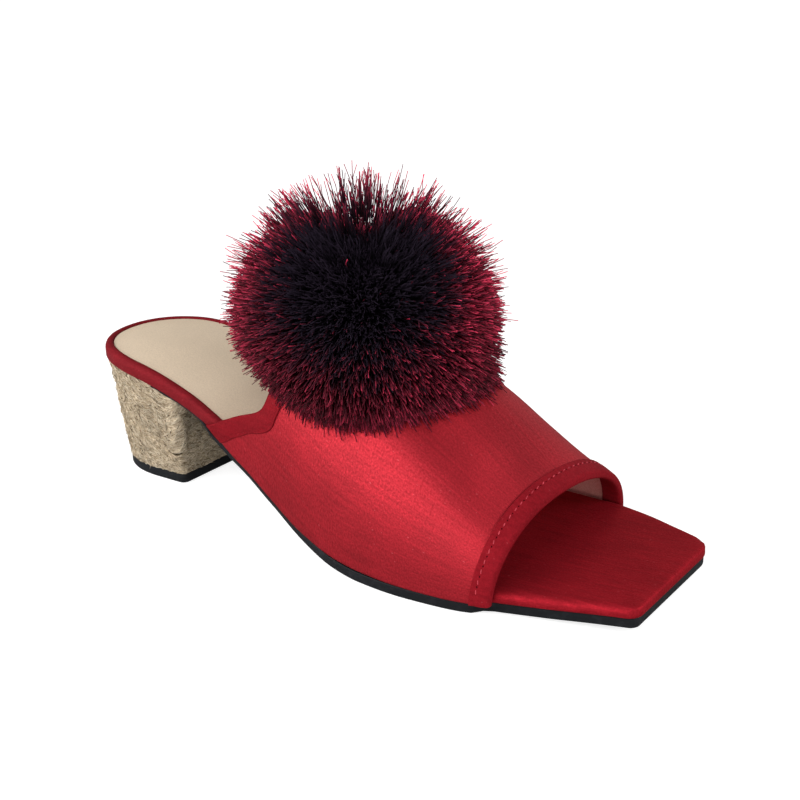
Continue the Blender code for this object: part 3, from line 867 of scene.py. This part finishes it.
def makeLift():
    _, foot = heelLoops()
    share = np.linspace(0, 1, heelShape["liftSteps"], endpoint=False)
    bm = flatPlate(evenLoop(foot, share), heelShape["lift"])
    for height, edge in zip((0, heelShape["lift"]), heelShape["liftEdges"]):
        roundEdges(bm, height, edge, 2)
    bendPlate(bm, lambda flat: flat)
    addPiece(finishMesh(bm, "topLift", 35), "topLift", ["heel_lift"], [soleRubber])


makeLift()
print("lift done")


juteShape = {
    "lump": 0.6, "crease": 1.4,  # mm
    "ridge": 2.8, "ridgeHalf": 5.0,  # mm, the rope's turn at the near front corner
    "broadLump": (0.22, 0.22, 0.34), "fineLump": 0.75, "sunk": 0.15,
    "creaseUp": 0.335, "creaseSag": 0.075, "creaseHalf": 0.018, "creaseSpan": (-9.5, 4.5),
    # near-black strands along the fold: painted shade in the crease
    "creaseShadeFibres": {"count": 110, "length": (2.0, 4.5), "wander": 0.006, "lift": 0.6,
                     "thick": (0.14, 0.26, 0.26, None), "tone": (0, 0.04)},
    "fibres": {"count": 7400, "length": (2.5, 7.5), "thick": (0.07, 0.16), "lift": (0.12, 0.45), "free": False},
    "strays": {"count": 420, "length": (2.0, 5.5), "thick": (0.06, 0.13), "lift": (1.0, 2.4), "free": True},
    "ticks": {"count": 420, "length": (0.8, 2.4), "thick": (0.10, 0.17), "lift": (0.25, 0.5), "free": False,
              "tone": (0, 0.06)},
    "slope": (-12, 30), "ridgeSlope": (55, 16), "turn": 0.35,  # degrees, middle and spread, then radians
    "stations": (0.0, 0.34, 0.67, 1.0), "height": 40.0, "lowest": -0.04, "clear": 0.08, "openGroove": 0.2,
    "gap": (0.26, 0.19, 0.115), "straw": (0.55, 0.44, 0.305), "pale": (0.84, 0.73, 0.56),
}


def nearCorner():  # share of the way round at the near front corner, and the whole way round in mm
    top, _ = heelLoops()
    _, run = loopRun(top)
    half = len(top) // 2
    return run[half - 5] / run[-1], run[-1]


def creaseLine(away):
    low, high = juteShape["creaseSpan"]
    off = np.abs(away - (low + high) / 2) * 2 / (high - low)
    return juteShape["creaseUp"] - juteShape["creaseSag"] * (1 - np.clip(off, 0, 1.2) ** 2)


def creaseDepth(around, up):
    corner, length = nearCorner()
    away = (around - corner) * length
    low, high = juteShape["creaseSpan"]
    line = creaseLine(away)
    inside = smoothStep((high - low) / 2 + 1.5, (high - low) / 2 - 2.5, np.abs(away - (low + high) / 2))
    groove = np.exp(-((up - line) / juteShape["creaseHalf"]) ** 2)
    return inside * groove, inside * smoothStep(line, line + 0.06, up), away


def juteOutset(around, up):
    shape = juteShape
    points = heelPoint(around, up)
    lumps = np.array([noise.noise(Vector(broad)) + 0.6 * noise.noise(Vector(fine) * shape["fineLump"])
                      for broad, fine in zip(points * shape["broadLump"], points)])
    groove, above, away = creaseDepth(around, up)
    ridge = np.exp(-((away + 0.5) / shape["ridgeHalf"]) ** 2) * above * smoothStep(1.0, 0.4, up)
    edge = smoothStep(0, 0.05, up) * smoothStep(1.0, 0.96, up)
    return edge * (shape["lump"] * lumps + shape["ridge"] * ridge - shape["crease"] * groove) - shape["sunk"]


def juteMaterial():
    material, tree, shader = newMaterial("juteMat")
    stretch = addNode(tree, "ShaderNodeMapping", {"Scale": (1.0, 1.0, 2.2)})
    tree.links.new(objectCoords(tree), stretch.inputs["Vector"])
    fibre = addNoise(tree, stretch.outputs["Vector"], 620.0, 4.0, 0.7)
    colours = (juteShape["gap"], juteShape["straw"], juteShape["pale"])
    setShader(shader, Base_Color=addRamp(tree, fibre, list(zip((0.34, 0.5, 0.72), colours))),
              Normal=addBump(tree, fibre, 0.0004, 0.8), Roughness=0.92, Specular_IOR_Level=0.15)
    return material


def juteFibreMaterial():
    material, tree, shader = newMaterial("juteFibre")
    tone = addNode(tree, "ShaderNodeAttribute", attribute_name="tone")
    stain = addNoise(tree, objectCoords(tree), 140.0, 3.0)
    shadow = tuple(0.2 * c for c in juteShape["gap"])
    colour = addRamp(tree, tone.outputs["Fac"], [(0.0, shadow), (0.06, juteShape["gap"]),
                                                 (0.3, juteShape["straw"]), (1.0, juteShape["pale"])])
    stained = addMix(tree, 1.0, colour, addRamp(tree, stain, [(0.32, 0.72), (0.62, 1.05)]), "MULTIPLY")
    setShader(shader, Base_Color=stained, Roughness=0.8, Specular_IOR_Level=0.2)
    return material


juteFibre = juteFibreMaterial()


def makeJuteMat():
    def place(aroundShare, upShare):
        points = heelPoint(aroundShare, upShare, juteOutset(aroundShare, upShare))
        return toRow(points), np.stack([aroundShare, upShare], axis=1)

    bm = bmesh.new()
    gridMesh(bm, heelShape["around"], heelShape["rows"], place)
    bmesh.ops.remove_doubles(bm, verts=bm.verts, dist=1e-7)
    caps = bmesh.ops.holes_fill(bm, edges=[edge for edge in bm.edges if edge.is_boundary], sides=0)["faces"]
    bmesh.ops.poke(bm, faces=caps)
    bmesh.ops.recalc_face_normals(bm, faces=bm.faces)
    addPiece(finishMesh(bm, "juteMat", 60), "juteMat", ["heel"], [juteMaterial()])


def makeJuteFibres(name, shape):
    corner, length = nearCorner()
    height, count, clear = juteShape["height"], shape["count"], juteShape["clear"]
    around, up = rng.uniform(0, 1, count), rng.uniform(0.0, 1.0, count)
    away = (around - corner) * length
    ridgeAndHighlight = np.exp(-((away + 1.5) / 5.5) ** 4) * (up > juteShape["creaseUp"] - 0.03)  # fibres that follow the ridge, painted lighter there as a highlight
    slope = np.radians(rng.normal(*juteShape["slope"], count) * (1 - ridgeAndHighlight)
                       + ridgeAndHighlight * rng.normal(*juteShape["ridgeSlope"], count))
    turn = rng.normal(0, juteShape["turn"], count)
    run = rng.uniform(*shape["length"], count)
    rise = rng.uniform(*shape["lift"], count)
    levels, groove = [], np.zeros(count)
    for t in juteShape["stations"]:
        heading = slope + turn * t
        spotAround = around + np.cos(heading) * run * (t - 0.5) / length
        spotUp = up + np.sin(heading) * run * (t - 0.5) / height
        spotUp = np.clip(spotUp, juteShape["lowest"] if shape["free"] else 0.0, 1.0)
        bow = t ** 1.5 if shape["free"] else math.sin(math.pi * t)
        outset = juteOutset(spotAround, np.clip(spotUp, 0, 1)) + clear + rise * bow
        groove = np.maximum(groove, creaseDepth(spotAround, spotUp)[0])
        levels.append(heelPoint(spotAround, spotUp, outset))
    keep = groove < juteShape["openGroove"]
    thick = rng.uniform(*shape["thick"], count)[keep]
    # fibres on the ridge get a lighter tone: painted highlight
    tone = np.clip(rng.beta(1.5, 1.5, count) + 0.15 * ridgeAndHighlight, 0, 1)[keep]
    if "tone" in shape:
        tone = rng.uniform(*shape["tone"], len(thick))
    mesh = strandMesh(name, [points[keep] for points in levels], (thick, thick, thick * 0.8, None), {"tone": tone})
    addPiece(mesh, name, (), [juteFibre])


def makeCreaseShade(shape):  # near-black strands lie along the fold at the near front corner: painted shade in the crease
    corner, length = nearCorner()
    low, high = juteShape["creaseSpan"]
    count = shape["count"]
    start = rng.uniform(low, high - 2.5, count)
    run = rng.uniform(*shape["length"], count)
    wander = rng.normal(0, shape["wander"], count)
    levels = []
    for t in juteShape["stations"]:
        away = np.minimum(start + run * t, high + 0.5)
        up = creaseLine(away) + wander
        around = corner + away / length
        levels.append(heelPoint(around, up, juteOutset(around, up) + shape["lift"]))
    mesh = strandMesh("juteCreaseShade", levels, shape["thick"], {"tone": rng.uniform(*shape["tone"], count)})
    addPiece(mesh, "juteCreaseShade", (), [juteFibre])


def addAttribute(mesh, name, values):
    mesh.attributes.new(name, "FLOAT", "POINT").data.foreach_set("value", values.astype(np.float32))


def strandMesh(name, stations, radii, values):
    # stations: one array of points for each level; the last level is a point where its radius is None
    count, levels = len(stations[0]), len(stations)
    axis = stations[-1] - stations[0]
    axis /= np.linalg.norm(axis, axis=1, keepdims=True)
    helper = np.where(np.abs(axis[:, 2:]) < 0.9, [[0, 0, 1.0]], [[1.0, 0, 0]])
    side = np.cross(axis, helper)
    side /= np.linalg.norm(side, axis=1, keepdims=True)
    other = np.cross(axis, side)
    spin = rng.uniform(0, 2 * math.pi, count)[:, None]
    rings, along, faces = [], [], [(2, 1, 0)]
    for level, (centre, radius) in enumerate(zip(stations, radii)):
        start = 3 * level
        if radius is None:
            rings.append(centre[:, None])
            faces += [(start - 3 + i, start - 3 + (i + 1) % 3, start) for i in range(3)]
        else:
            out = np.reshape(radius, (-1, 1))
            corners = [centre + out * (np.cos(spin + turn) * side + np.sin(spin + turn) * other)
                       for turn in (0, 2 * math.pi / 3, 4 * math.pi / 3)]
            rings.append(np.stack(corners, axis=1))
            if level:
                for i in range(3):
                    j = (i + 1) % 3
                    faces += [(start - 3 + i, start - 3 + j, start + j), (start - 3 + i, start + j, start + i)]
            if level == levels - 1:
                faces.append((start, start + 1, start + 2))
        along.append(np.full(rings[-1].shape[:2], level / (levels - 1)))
    points = np.concatenate(rings, axis=1)
    perStrand = points.shape[1]
    allFaces = (np.array(faces)[None] + perStrand * np.arange(count)[:, None, None]).reshape(-1, 3)
    mesh = bpy.data.meshes.new(name)
    mesh.vertices.add(count * perStrand)
    mesh.vertices.foreach_set("co", toRow(points.reshape(-1, 3)).ravel())
    mesh.loops.add(allFaces.size)
    mesh.loops.foreach_set("vertex_index", allFaces.ravel().astype(np.int32))
    mesh.polygons.add(len(allFaces))
    mesh.polygons.foreach_set("loop_start", np.arange(0, allFaces.size, 3, dtype=np.int32))
    mesh.update(calc_edges=True)
    mesh.shade_smooth()
    for key, value in values.items():
        addAttribute(mesh, key, np.repeat(value, perStrand))
    addAttribute(mesh, "along", np.concatenate(along, axis=1).ravel())
    return mesh


makeJuteMat()
for fibreKind in ("fibres", "strays", "ticks"):
    makeJuteFibres("jute" + fibreKind.capitalize(), juteShape[fibreKind])
makeCreaseShade(juteShape["creaseShadeFibres"])
print("jute done")


pompomShape = {
    "centre": (123.4, -1.8, 80.0), "radius": 48.0, "lean": 0.5, "heart": 24.0, "root": 16.0,
    "bristles": 28500, "reach": [(-1, 48.2), (-0.3, 47.4), (0.1, 45.2), (0.45, 41.0), (1, 38.0)], "spread": 1.1,
    "partingAcross": (0.81, 0.59, 0.0), "partingDepth": 12.0, "partingHalf": (0.65, 0.0), "partingUp": (0.3, 0.8),
    "locks": 1900, "perLock": 3, "lockReach": [(-0.3, 48.7), (0.2, 49.8), (0.6, 49.8), (1, 48.8)],
    "lockSplay": 0.02, "lockSpread": 0.5, "lockLong": (1.6, 1.0), "lockFrom": (-0.3, -0.1), "lockThin": 0.85,
    "stations": (0.5, 0.86), "bend": 0.02, "curl": 0.016, "thick": (0.16, 0.165, 0.155),
    "fill": 21000, "fillShare": (0.62, 0.95), "fillThick": 0.28, "fillSplay": 0.06, "fillPaintedShade": 0.55,
    "clearance": 0.5, "settle": 1.2, "mostPush": 14.0,
}
pompomLook = {
    "length": [(0.0, (0.006, 0.002, 0.004)), (0.25, (0.030, 0.003, 0.006)),  # root to tip
               (0.55, (0.14, 0.006, 0.016)), (1.0, (0.52, 0.024, 0.060))],
    # crown: colour of the dark disc, painted shade on the strands that face the camera's side
    "tone": ((0.10, 0.12, 0.14), (2.2, 3.0, 2.8)), "crown": (0.015, 0.0095, 0.018),
    "rough": [(0.0, 0.42), (0.8, 0.9)], "gloss": 0.1,
    "shadeDiscAxis": (0.45, -0.66, 0.60), "shadeDiscSpread": (38.0, 67.0), "shadeDiscNoise": 6.0,  # degrees from the axis of the painted dark disc, which faces the camera's side: painted shade
    # a few strands in the dark disc are left lighter as painted glints
    "paintedGlintShare": 0.006, "paintedGlintShadeLeft": 0.3, "topLock": 0.84, "topLockPaintedShade": 0.7,
    "lockTone": (1.0, 1.5), "singleTone": (0.5, 1.6), "fillTone": (0.8, 2.5),
    # strands low down and on the near side are darker, higher ones lighter: painted shade
    "toneUp": ((-0.5, 0.35), (0.42, 1.15)), "toneAcross": ((-0.95, -0.6), (0.66, 1.2)),
    # the heart is coloured mostly with the dark disc's colour: painted shade deep inside the pompom
    "heart": {"along": 0.1, "tone": 0.1, "crown": 0.9},
}


def pompomMaterial(look):
    material, tree, shader = newMaterial("pompomBristle")
    along, tone, crown = (addNode(tree, "ShaderNodeAttribute", attribute_name=key).outputs["Fac"]
                          for key in ("along", "tone", "crown"))
    bright = addMix(tree, tone, *look["tone"])
    toned = addMix(tree, 1.0, addRamp(tree, along, look["length"]), bright, "MULTIPLY")
    # crown mixes in the dark disc's colour: painted shade
    setShader(shader, Base_Color=addMix(tree, crown, toned, look["crown"]),
              Roughness=addRamp(tree, crown, look["rough"]), Specular_IOR_Level=look["gloss"])
    return material


pompomBristle = pompomMaterial(pompomLook)


def randomDirections(count):
    z = rng.uniform(-1, 1, count)
    turn = rng.uniform(0, 2 * math.pi, count)
    flat = np.sqrt(1 - z * z)
    return np.stack([flat * np.cos(turn), flat * np.sin(turn), z], axis=1)


def pompomPoints(directions, reach):
    shape = pompomShape
    points = directions * np.reshape(reach, (-1, 1))
    depth = np.maximum(0, -points[:, 2])
    points[:, 0] += shape["lean"] * depth ** 2 / shape["radius"]
    return points + np.array(shape["centre"])


def angleFrom(directions, axis):
    axis = np.array(axis) / np.linalg.norm(axis)
    length = np.linalg.norm(directions, axis=1)
    return np.degrees(np.arccos(np.clip(directions @ axis / length, -1, 1)))


def partingShare(directions):  # the top is brushed apart, from the front to the back
    shape = pompomShape
    across = np.abs(directions @ np.array(shape["partingAcross"]))
    return smoothStep(*shape["partingHalf"], across) * smoothStep(*shape["partingUp"], directions[:, 2])


def usualReach(directions):
    shape = pompomShape
    return np.interp(directions[:, 2], *zip(*shape["reach"])) - shape["partingDepth"] * partingShare(directions)


# painted shade: strands near the axis are darkened into a near-black disc
def paintedCrownShade(directions):
    angle = angleFrom(directions, pompomLook["shadeDiscAxis"])
    ragged = angle + rng.normal(0, pompomLook["shadeDiscNoise"], len(angle))
    return 1 - smoothStep(*pompomLook["shadeDiscSpread"], ragged)


def settleStrands(levels):  # lifts the strands off the vamp, and drops those that would be pushed far
    shape = pompomShape
    keep = np.ones(len(levels[0]), bool)
    settled = []
    for points in levels:
        lifted = liftOffVamp(points, shape["clearance"] + rng.uniform(0, shape["settle"], len(points)))
        keep &= np.linalg.norm(lifted - points, axis=1) < shape["mostPush"]
        settled.append(lifted)
    return [points[keep] for points in settled], keep


def makeHeart(shape):
    bm = bmesh.new()
    bmesh.ops.create_icosphere(bm, subdivisions=4, radius=1)
    ball = np.array([vert.co for vert in bm.verts])
    lifted = liftOffVamp(pompomPoints(ball, shape["heart"]), shape["clearance"])
    for vert, point in zip(bm.verts, toRow(lifted)):
        vert.co = point
    heart = finishMesh(bm, "pompomHeart", 180)
    for key, value in pompomLook["heart"].items():
        addAttribute(heart, key, np.full(len(heart.vertices), value))
    addPiece(heart, "pompomHeart", ["pompom"], [pompomBristle])


def makeBristles(shape, look):
    single = randomDirections(shape["bristles"])
    locks = randomDirections(shape["locks"])
    parted = shape["lockThin"] + (1 - shape["lockThin"]) * partingShare(locks)
    thin = np.interp(locks[:, 2], shape["lockFrom"], (0, 1)) * parted
    locks = locks[rng.uniform(0, 1, len(locks)) < thin]
    longest, shortest = np.interp(locks[:, 2], *zip(*shape["lockReach"])), usualReach(locks)
    lockReach = shortest + (longest - shortest) * rng.beta(*shape["lockLong"], len(locks))
    grouped = np.repeat(locks, shape["perLock"], axis=0)
    tips = np.concatenate([single, grouped + rng.normal(0, shape["lockSplay"], grouped.shape)])
    reach = np.concatenate([usualReach(single) + rng.normal(0, shape["spread"], len(single)),
                            np.repeat(lockReach, shape["perLock"]) + rng.normal(0, shape["lockSpread"], len(grouped))])
    bend = rng.normal(0, shape["bend"], tips.shape)
    curl = rng.normal(0, shape["curl"], tips.shape)
    low, high = (shape["root"] + share * (reach - shape["root"]) for share in shape["stations"])
    levels, keep = settleStrands([pompomPoints(tips + bend, low), pompomPoints(tips, high),
                                  pompomPoints(tips + curl, reach)])
    # the dark disc's painted shade for each strand
    crown = paintedCrownShade(tips[keep])
    # a few strands keep less of the painted shade: painted glints in the dark disc
    crown[rng.uniform(0, 1, len(crown)) < look["paintedGlintShare"]] *= look["paintedGlintShadeLeft"]
    isLock = (np.arange(len(tips)) >= len(single))[keep]
    # locks at the top carry less of the painted shade
    crown[isLock & (tips[keep, 2] > look["topLock"])] *= look["topLockPaintedShade"]
    tone = np.where(isLock, rng.beta(*look["lockTone"], len(crown)), rng.beta(*look["singleTone"], len(crown)))
    # painted shade: darker towards the bottom and on the near side
    tone *= np.interp(tips[keep, 2], *look["toneUp"]) * np.interp(tips[keep, 1], *look["toneAcross"])
    for number, part in enumerate(np.array_split(rng.permutation(len(crown)), 3)):
        mesh = strandMesh(f"pompomBristles{number}", [level[part] for level in levels], shape["thick"],
                          {"tone": tone[part], "crown": crown[part]})
        addPiece(mesh, f"pompomBristles{number}", ["pompom"], [pompomBristle])
    print("pompom bristles", len(crown))


def makeFill(shape, look):  # short strands between the heart and the bristles, darkened with painted shade
    tips = randomDirections(shape["fill"])
    reach = rng.uniform(*shape["fillShare"], len(tips)) * usualReach(tips)
    roots = pompomPoints(tips + rng.normal(0, shape["fillSplay"], tips.shape), shape["root"])
    levels, keep = settleStrands([roots, pompomPoints(tips, reach)])
    # each fill strand is held at least this far into the dark disc's painted shade
    crown = np.maximum(paintedCrownShade(tips[keep]), shape["fillPaintedShade"])
    mesh = strandMesh("pompomFill", levels, (shape["fillThick"], None),
                      {"tone": rng.beta(*look["fillTone"], len(crown)), "crown": crown})
    addPiece(mesh, "pompomFill", ["pompom"], [pompomBristle])
    print("pompom fill", len(crown))


makeHeart(pompomShape)
makeBristles(pompomShape, pompomLook)
makeFill(pompomShape, pompomLook)
print("pompom done")
